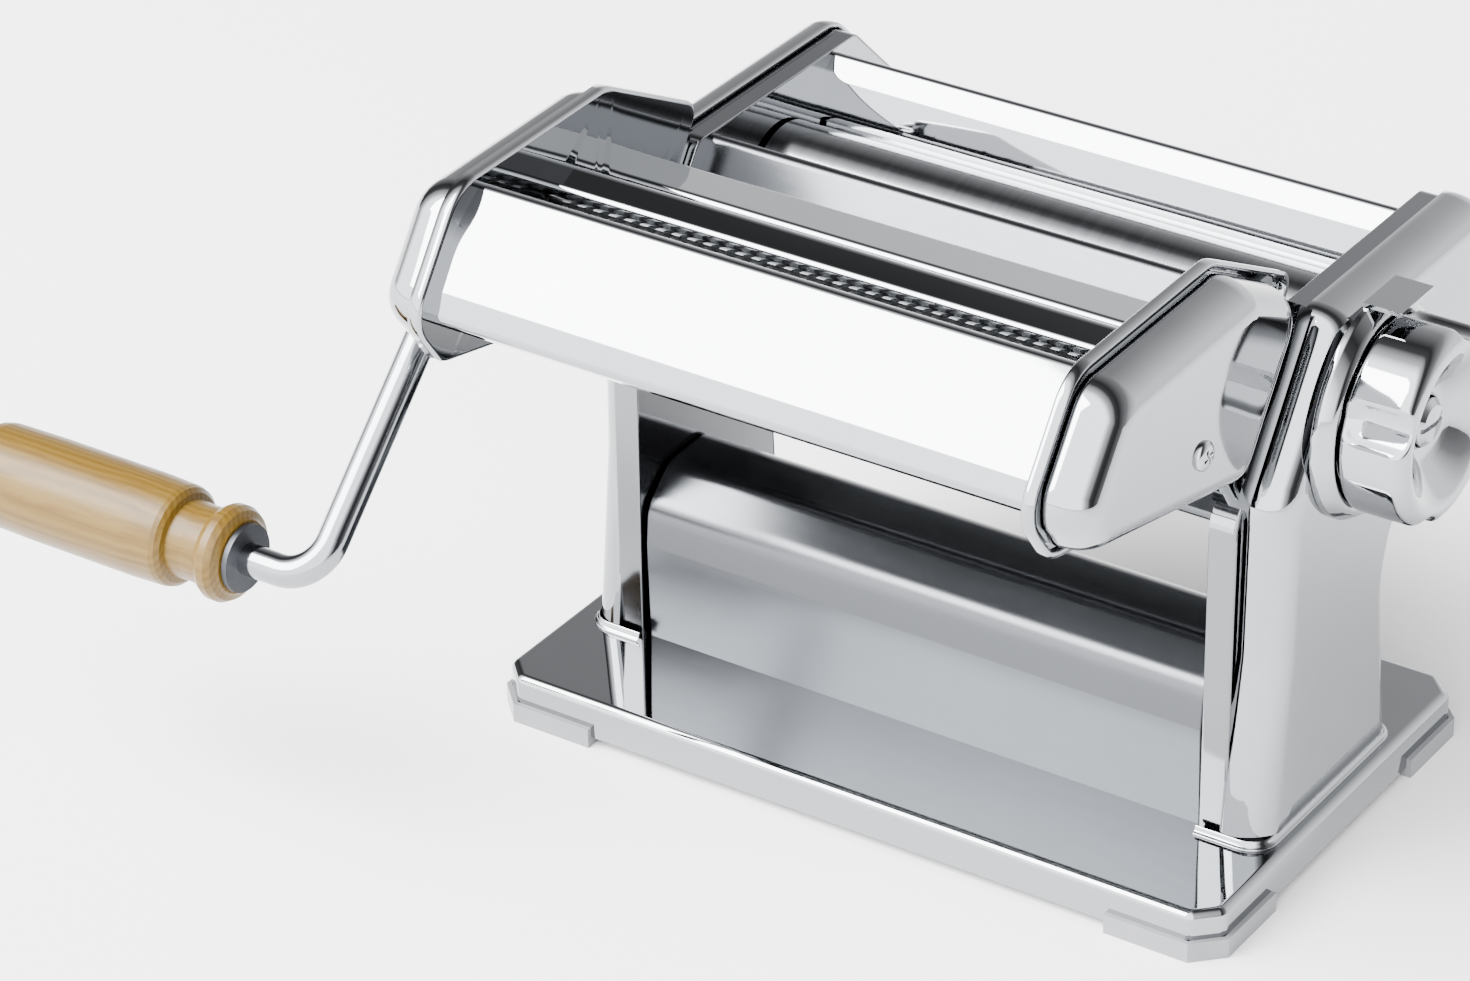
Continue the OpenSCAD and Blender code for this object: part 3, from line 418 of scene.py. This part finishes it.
def pressed(outer, inner, x0, x1, straight, holes=(), steps=9):
    """A dished cover: outer edge at x0, rounded over to the flat inner outline at x1.

    straight is the share of its depth that goes straight in before the rounding starts.
    """
    depth = x1 - x0
    loops = [at_x(x0, outer), at_x(x0 + straight * depth, outer)]
    for k in range(1, steps + 1):
        t = math.pi / 2 * k / steps
        across, along = 1 - math.cos(t), straight + (1 - straight) * math.sin(t)
        loops.append(at_x(x0 + along * depth,
                          [(p[0] + across * (q[0] - p[0]), p[1] + across * (q[1] - p[1]))
                           for p, q in zip(outer, inner)]))
    bm = bmesh.new()
    edges = lofted(bm, loops)
    for y, z, radius in holes:
        edges += ring(bm, at_x(x1, circle((y, z), radius)))
    bmesh.ops.triangle_fill(bm, edges=edges, use_beauty=True)
    bmesh.ops.recalc_face_normals(bm, faces=bm.faces)
    faced(bm, (1 if depth > 0 else -1, 0, 0))
    return bm


def bent_sheet(name, node, path, towards, body, half_width=INNER_X, finish="plate"):
    """A bent sheet between the side plates that follows path, given as (y, z, bend radius)."""
    line = bent_line(path, 10)
    bm = bmesh.new()
    lofted(bm, [at_x(-half_width, line), at_x(half_width, line)], closed=False)
    faced(bm, towards)
    add_sheet(name, bm, body, SHEET_WALL, [node], finish)


def lathe(profile, axis, steps):
    """A body turned about the X axis through axis, whose profile gives (radius, x)."""
    bm = bmesh.new()
    edges = chain(bm, [(x, axis[0], axis[1] + radius) for radius, x in profile])
    bmesh.ops.spin(bm, geom=list(bm.verts) + edges, cent=(0, *axis), axis=(1, 0, 0),
                   angle=2 * math.pi, steps=steps, use_merge=True, use_duplicate=False)
    bmesh.ops.remove_doubles(bm, verts=bm.verts, dist=0.001)
    bmesh.ops.recalc_face_normals(bm, faces=bm.faces)
    return bm


# ---------------------------------------------------------------- base

def pressed_base():
    """The base, an open tray pressed downwards, with cut corners."""
    corner_cut, corner_soft, top_edge = 6.0, 1.2, 2.2
    bm = bmesh.new()
    bmesh.ops.create_cube(bm, size=1)
    bmesh.ops.scale(bm, vec=(2 * BASE_X, 2 * BASE_Y, BASE_TOP - FOOT_Z), verts=bm.verts)
    bmesh.ops.translate(bm, vec=(0, 0, (BASE_TOP + FOOT_Z) / 2), verts=bm.verts)
    for width, segments in ((corner_cut, 1), (corner_soft, 3)):
        upright = [e for e in bm.edges if abs(e.verts[0].co.z - e.verts[1].co.z) > 1]
        bevelled(bm, upright, width, segments)
    lid = [f for f in bm.faces if f.normal.z > 0.9][0]
    bevelled(bm, list(lid.edges), top_edge, 7)
    cut_away(bm, [f for f in bm.faces if f.normal.z < -0.9])
    add_sheet("pressed_base", bm, "frame", BASE_WALL, ["base_plate"])


# ---------------------------------------------------------------- columns

# Corners of a cover from its front foot round to the rails, and the radius at each
COVER = [(-30, 12), (31.7, 12), (26.5, 56), (31, 72), (46, 79), (79, 84.5), (88, 96), (88, 114),
         (67, 134.2), (0.4, 134.2), (-24.5, 97), (-25, 58)]
COVER_RADII = [0.05, 0.05, 26, 20, 24, 12, 10, 9, 8, 7, 18, 30]
COVER_FLAT_RADII = [0.05, 0.05, 32, 26, 28, 6, 4, 3, 2.5, 2.5, 12, 24]
COVER_ROUNDING = [0.0, 6.0, 6.0, 6.0, 6.0, 6.0, 6.0, 6.0, 6.0, 7.5, 7.5, 7.5]

# Corners of a side frame's folded edge, and the radius at each
FRAME = [(-28.3, 12), (30, 12), (27.5, 62), (34, 75), (48, 81.5), (78, 87), (86, 97), (86, 113),
         (66, 132.5), (-1, 132.5), (-28.3, 92.78)]
FRAME_RADII = [0.1, 0.1, 14, 14, 14, 10, 8, 6, 4, 5, 12]


def column_cover(sign, outer_x, hole):
    """A pressed cover over a side frame, open at its foot."""
    inner = rounded(drawn_in(COVER, COVER_ROUNDING), COVER_FLAT_RADII)
    bm = pressed(rounded(COVER, COVER_RADII), inner, sign * FLANGE_X, sign * outer_x,
                 straight=0.18, holes=[hole])
    cut_away(bm, foot_faces(bm))
    add_sheet(f"{SIDE[sign]}_column_cover", bm, "frame", COVER_WALL, [f"{SIDE[sign]}_cover"])


def column_foot(sign, outer_x):
    """The small flare that a column stands on."""
    front_y, rear_y, radius = -30.2, 31.9, 6
    flare = ((-0.2, 14.0), (0.0, 13.6), (0.1, 13.2), (0.3, 12.8), (0.6, 12.6), (0.8, 12.5),
             (0.95, 12.4), (1.0, 12.25), (1.0, BASE_TOP))
    line = bent_line([(INNER_X, front_y, 0), (outer_x, front_y, radius),
                      (outer_x, rear_y, radius), (INNER_X, rear_y, 0)], 8)
    ways = []
    for i, here in enumerate(line):
        run = Vector(line[min(i + 1, len(line) - 1)]) - Vector(line[max(i - 1, 0)])
        ways.append(Vector((run.y, -run.x)).normalized())
    ways[0], ways[-1] = Vector((0, -1)), Vector((0, 1))
    bm = bmesh.new()
    lofted(bm, [[(sign * (p[0] + out * w.x), p[1] + out * w.y, z) for p, w in zip(line, ways)]
                for out, z in flare], closed=False)
    faced(bm, (0, 0, 1))
    add_sheet(f"{SIDE[sign]}_column_foot", bm, "frame", FLARE_WALL)


def frame_edge(sign):
    """Smooth folded edge of a side frame, which lies over the solid's facets."""
    proud = 0.12
    fold = ((76.9, 1.0), (76.2, 0.9), (75.93, 0.5), (75.9, 0.2), (76.1, 0.03), (76.5, 0.0),
            (82.0, 0.0), (82.5, 0.15), (82.7, 0.6))
    bm = bmesh.new()
    lofted(bm, [at_x(sign * x, rounded(drawn_in(FRAME, gap - proud), FRAME_RADII))
                for x, gap in fold])
    bmesh.ops.recalc_face_normals(bm, faces=bm.faces)
    cut_away(bm, foot_faces(bm))
    add_sheet(f"{SIDE[sign]}_frame_edge", bm, "frame", FOLD_WALL, finish="edge")


def frame_sheets():
    """The bent sheets that are fixed between the side frames."""
    # The sheet guide and rail wall take the satin finish, whose darker tone is painted shade
    bent_sheet("sheet_guide", "sheet_chute",
               [(34, 13, 0), (27, 13, 7), (13, 37, 9), (-1, 56, 8), (-17.5, 55.4, 6.5),
                (-26.5, 47.5, 9), (-27.4, 37.5, 3), (-26.6, 12, 0)], (0, -1, 0.3), "frame",
               half_width=74.8, finish="satin_painted_dim")
    lean, length = math.radians(RAIL_LEAN), 52
    top = (4.6, 132.7)
    low = (top[0] - length * math.sin(lean), top[1] - length * math.cos(lean))
    bent_sheet("rail_wall", "front_wall",
               [(8.6, 129.2, 0), (*top, 2.4), (*low, 1.8), (low[0] + 4, low[1] - 1.5, 0)],
               (0, -1, 0.5), "frame", finish="satin_painted_dim")
    bent_sheet("roller_feed_plate", "feed_plate",
               [(59.5, 127, 0), (57.5, 132.7, 1.8), (52, 128, 6), (47, 118.3, 0)],
               (0, -0.5, 1), "frame")


# ---------------------------------------------------------------- cutter head

def head_points(back):
    """Corners of a side of the head, whose rear edge lies at the distance back before the rails."""
    further = back - HEAD_BACK
    return [rail_point(-back, -37.6 - 0.402 * further), rail_point(-back, 8.2 - 0.09 * further),
            (-36, 161.2), (-92.5, 160.4), (-111.3, 134.5), (-101.5, 120.7)]


def head_side(sign):
    """A side plate of the head, pressed with a turned edge that carries the end cap."""
    edge = head_points(HEAD_BACK)
    journal, socket, tie = 5.5, 8.5, 1.7
    driven = (1, 2) if sign < 0 else ()
    holes = [(*at, socket if i in driven else journal) for i, at in enumerate(HEAD_AXES)]
    bm = pressed(rounded(edge, [4, 4, 10, 13, 10, 8]),
                 rounded(drawn_in(edge, 1.0), [3, 3, 9, 12, 9, 7]),
                 sign * HEAD_RIM_X, sign * INNER_X, straight=0.68,
                 holes=holes + [(*TIE_AXIS, tie)], steps=6)
    add_sheet(f"{SIDE[sign]}_head_side", bm, "head", HEAD_SIDE_WALL,
              [f"head_{SIDE[sign]}_plate"])


def head_cap(sign):
    """A pressed end cap of the head. The left one has the two sockets of the crank."""
    back, rear_rounding = (11, 9.5) if sign > 0 else (5.2, 7.0)
    holes = [(*at, 7.3) for at in HEAD_AXES[1:3]] if sign < 0 else []
    edge = drawn_in(head_points(back), CAP_INSET)
    flat = drawn_in(edge, [rear_rounding, 7, 7.5, 7.5, 6.5, 6.5])
    bm = pressed(rounded(edge, [10, 10, 10, 11, 9.5, 9.5]), rounded(flat, [3, 3, 4, 5, 3, 3]),
                 sign * WEB_X, sign * CAP_X, straight=0.22, holes=holes)
    add_sheet(f"{SIDE[sign]}_head_cap", bm, "head", CAP_WALL, [f"{SIDE[sign]}_end_cap"])


def cap_screw(bm, sign, at, shape):
    """A screw of an end cap with its post; shape gives (radius, x) up to the crossed face."""
    recess, arm, half_wide, floor_share, tilt = 1.4, 1.85, 0.46, 0.7, 18
    rim = lofted(bm, [at_x(sign * x, circle(at, radius)) for radius, x in shape])
    cross = []
    for k in range(4):
        quarter = Matrix.Rotation(math.radians(tilt + 90 * k), 2)
        cross += [quarter @ Vector(p) for p in ((half_wide, half_wide), (arm, half_wide),
                                                (arm, -half_wide))]
    face_x = sign * shape[-1][1]
    notch = ring(bm, [(face_x, at[0] + p.x, at[1] + p.y) for p in reversed(cross)])
    bmesh.ops.triangle_fill(bm, edges=rim + notch, use_beauty=True)
    drawn_out(bm, notch, lambda co: Vector((face_x - sign * recess,
                                            at[0] + floor_share * (co.y - at[0]),
                                            at[1] + floor_share * (co.z - at[1]))))
    bmesh.ops.holes_fill(bm, edges=[e for e in bm.edges if e.is_boundary], sides=0)


def cap_screws():
    """The right cap's domed screw and the left cap's low one, which the crank arm passes."""
    post = [(3.0, WEB_X), (3.0, 89.3), (2.0, 89.3), (2.0, CAP_X), (3.4, CAP_X)]
    domed = [(3.4, 91.0), (3.25, 91.25), (2.95, 91.55), (2.6, 91.75), (2.2, 91.88)]
    low = [(3.4, 90.65), (3.2, 90.78), (2.9, 90.85)]
    bm = bmesh.new()
    cap_screw(bm, 1, RIGHT_POST, post + domed)
    cap_screw(bm, -1, LEFT_POST, post + low)
    bmesh.ops.recalc_face_normals(bm, faces=bm.faces)
    screws = add_piece("cap_screw_pair", bm, "knob", "head", ["cap_screws"])
    screws.data.set_sharp_from_angle(angle=math.radians(50))
    flats_kept(screws)


def gear_bulge():
    """Bulge of the left cap round the gear of the rear wide cutter."""
    seat_x, face_x = -84.7, -90.38
    edge = [rail_point(-24, -34.5), rail_point(-0.6, -34.5), rail_point(-0.6, -7.5),
            rail_point(-24, -7.5)]
    bm = pressed(rounded(edge, [8, 8, 8, 8]), rounded(drawn_in(edge, 3), [5, 5, 5, 5]),
                 seat_x, face_x, straight=0.4)
    add_sheet("left_cap_bulge", bm, "head", COVER_WALL)


def head_sheets():
    """The bent sheets that are fixed between the head's side plates."""
    bent_sheet("head_front_panel", "front_panel",
               [(-80.5, 154.6, 0), (-84, 158.6, 2.6), (-95.2, 150.6, 34), (-103.8, 138.4, 16),
                (-105.4, 133.6, 2.2), (-100.5, 129.6, 0)], (0, -1, 0.5), "head")
    bent_sheet("head_centre_guard", "centre_guard",
               [(-46.5, 141.2, 0), (-50.2, 143, 2), (-56.8, 152.3, 3), (-65, 150.2, 1.6),
                (-65.4, 147.2, 0)], (0, 0.3, 1), "head")
    bent_sheet("head_rear_guard", "rear_guard",
               [(*rail_point(-1.3, -34), 0), (*rail_point(-1.3, -8.5), 3), (-17.8, 135.8, 4),
                (-33.3, 138.2, 1.6), (-33.8, 135.6, 0)], (0, 1, 1), "head")


# ---------------------------------------------------------------- regulator

DRUM_R = 23.0
DRUM_X = (98.1, 114.1)
HUB_R = 7.0         # the flutes leave the dished middle alone
FLUTE_AXIS_R = 26.0
FLUTE_R = 6.0
FLUTE_END_X = 102.6  # below this the flutes run out in a rounded end
FLUTE_TURN = 159.5  # degrees to the first flute
FLUTE_SOFT = 1.6


def blend_low(a, b, soft):
    """The lower of two values, rounded where they meet."""
    h = max(0.0, min(1.0, 0.5 + 0.5 * (b - a) / soft))
    return b * (1 - h) + a * h - soft * h * (1 - h)


def fluted_radius(x, angle, radius):
    """The drum's radius at a place once its four finger flutes are pressed in."""
    low = radius
    below = x - FLUTE_END_X
    size = FLUTE_R ** 2 if below >= 0 else FLUTE_R ** 2 - below * below
    for k in range(4):
        turn = angle - math.radians(FLUTE_TURN + 90 * k)
        turn = (turn + math.pi) % (2 * math.pi) - math.pi
        inside = size - (FLUTE_AXIS_R * math.sin(turn)) ** 2
        if abs(turn) < 0.5 and inside > 0:
            low = blend_low(low, FLUTE_AXIS_R * math.cos(turn) - math.sqrt(inside), FLUTE_SOFT)
    return low


def regulator_drum():
    """Pressed knob with four finger flutes and a dished face."""
    r, x0, x1 = DRUM_R, *DRUM_X
    profile = [(19.0, x0 + 1.2), (r - 1.4, x0 + 0.05), (r - 0.5, x0 + 0.2), (r, x0 + 0.8)]
    profile += [(r, x0 + 0.8 + 11.7 * k / 14) for k in range(1, 15)]
    profile += [(r - 3.5 + 3.5 * math.cos(t), x1 - 3.5 + 3.5 * math.sin(t))
                for t in (math.pi / 2 * k / 8 for k in range(1, 9))]
    profile += [(18.6, x1 - 0.05), (17.8, x1 - 0.3), (16.6, x1 - 0.9), (14.6, x1 - 2.1),
                (12.0, x1 - 3.9), (10.2, x1 - 5.2), (9.2, x1 - 5.9), (8.2, x1 - 6.35),
                (7.0, x1 - 6.5), (6.1, x1 - 6.5), (6.0, x1 - 6.6), (6.0, x1 - 9.0)]
    bm = lathe(profile, KNOB_AXIS, 240)
    for vert in bm.verts:
        y, z = vert.co.y - KNOB_AXIS[0], vert.co.z - KNOB_AXIS[1]
        radius = math.hypot(y, z)
        if radius < HUB_R:
            continue
        low = fluted_radius(vert.co.x, math.atan2(z, y), radius)
        if low < radius:
            vert.co.y = KNOB_AXIS[0] + y * low / radius
            vert.co.z = KNOB_AXIS[1] + z * low / radius
    bm.normal_update()
    flats_kept(add_piece("regulator_drum", bm, "knob", "knob",
                         ["regulator_knob"]))


def knob_seat():
    """The turned ring on the right cover that the knob's skirt runs over."""
    profile = [(6.1, 95.0), (6.1, RIGHT_X), (26.0, RIGHT_X), (26.2, 93.2), (26.2, 94.3),
               (26.0, 94.7), (24.6, 96.7), (24.2, 97.1), (23.6, 97.6), (23.2, 97.72),
               (16.0, 97.72), (15.9, 97.6), (15.9, 96.1), (12.1, 96.1), (12.1, 97.7),
               (4.2, 97.7), (4.2, 95.0), (6.1, 95.0)]
    bm = lathe(profile, KNOB_AXIS, 120)
    flats_kept(add_piece("knob_seat", bm, "knob", "frame", ["knob_ring"]))


pressed_base()
column_cover(1, RIGHT_X, (*KNOB_AXIS, 6.0))
column_foot(1, RIGHT_X)
column_cover(-1, LEFT_X, (*REAR_ROLLER_AXIS, 8.5))
column_foot(-1, LEFT_X)
for side_sign in SIDE:
    frame_edge(side_sign)
    head_side(side_sign)
    head_cap(side_sign)
gear_bulge()
cap_screws()
head_sheets()
frame_sheets()
regulator_drum()
knob_seat()


# ---------------------------------------------------------------- studio

def studio_camera():
    """The camera, turned about the place that it looks at and rolled a little."""
    turn, height, roll = (math.radians(a) for a in (34.29, 30.40, -0.945))
    looks_at, distance = Vector((-51.27, -24.77, 58.46)) * MM, 1.29664
    back = Vector((math.sin(turn) * math.cos(height), -math.cos(turn) * math.cos(height),
                   math.sin(height)))
    level = Vector((math.cos(turn), math.sin(turn), 0))
    upward = back.cross(level)
    right = math.cos(roll) * level + math.sin(roll) * upward
    above = -math.sin(roll) * level + math.cos(roll) * upward
    eye = looks_at + back * distance
    lens = bpy.data.cameras.new("studio_camera")
    lens.sensor_width = 36.0
    lens.lens = 136.67
    lens.clip_end = 30
    camera = bpy.data.objects.new("studio_camera", lens)
    camera.matrix_world = Matrix((
        (right.x, above.x, back.x, eye.x), (right.y, above.y, back.y, eye.y),
        (right.z, above.z, back.z, eye.z), (0, 0, 0, 1)))
    bpy.context.collection.objects.link(camera)
    bpy.context.scene.camera = camera


def studio_floor():
    """A wide pale floor."""
    bm = bmesh.new()
    bmesh.ops.create_circle(bm, cap_ends=True, radius=8, segments=64)
    mesh = bpy.data.meshes.new("floor")
    bm.to_mesh(mesh)
    bm.free()
    floor = bpy.data.objects.new("floor", mesh)
    bpy.context.collection.objects.link(floor)
    f = Finish("pale_floor").set(Metallic=0.0, Roughness=0.7)
    f.drive("Base Color", f.ramp(f.noise(f.place, scale=3.0, detail=3.0),
                                 [(0.3, 0.88), (0.7, 0.90)]))
    mesh.materials.append(f.material)


def studio_sky():
    """White room with a dark band over its ceiling, so that polished plate has depth."""
    band_axis = (0.285, 0.926, -0.246)
    # Brightness by direction, from 0 straight against the axis to 1 straight along it
    levels = ((0.245, 1.0), (0.33, 0.28), (0.44, 0.025), (0.53, 0.012), (0.60, 0.04),
              (0.725, 0.09), (0.90, 0.35))
    world = bpy.data.worlds.new("white_room")
    world.use_nodes = True
    bpy.context.scene.world = world
    tree = world.node_tree
    sky = tree.nodes["Background"]
    place = tree.nodes.new("ShaderNodeTexCoord")
    along = tree.nodes.new("ShaderNodeVectorMath")
    along.operation = "DOT_PRODUCT"
    along.inputs[1].default_value = band_axis
    tree.links.new(place.outputs["Generated"], along.inputs[0])
    fit = tree.nodes.new("ShaderNodeMapRange")
    fit.inputs["From Min"].default_value = -1.0
    tree.links.new(along.outputs["Value"], fit.inputs["Value"])
    ramp = tree.nodes.new("ShaderNodeValToRGB")
    stops = ramp.color_ramp.elements
    while len(stops) < len(levels):
        stops.new(0.5)
    for stop, (at, value) in zip(stops, levels):
        stop.position = at
        stop.color = (value, value, value * 1.02, 1)
    tree.links.new(fit.outputs["Result"], ramp.inputs["Fac"])
    tree.links.new(ramp.outputs["Color"], sky.inputs["Color"])
    sky.inputs["Strength"].default_value = 8.0


def front_soft_box():
    """One large lamp above the machine, in front on its left."""
    light = bpy.data.lights.new("front_soft_box", "AREA")
    light.shape = "RECTANGLE"
    light.size = 1.8
    light.size_y = 1.7
    light.energy = 260
    lamp = bpy.data.objects.new("front_soft_box", light)
    place = Vector((-1.25, -1.3, 1.85))
    aim = Vector((0, 0, 0.05))
    lamp.location = place
    lamp.rotation_euler = (aim - place).to_track_quat("-Z", "Y").to_euler()
    bpy.context.collection.objects.link(lamp)


studio_camera()
studio_floor()
studio_sky()
front_soft_box()
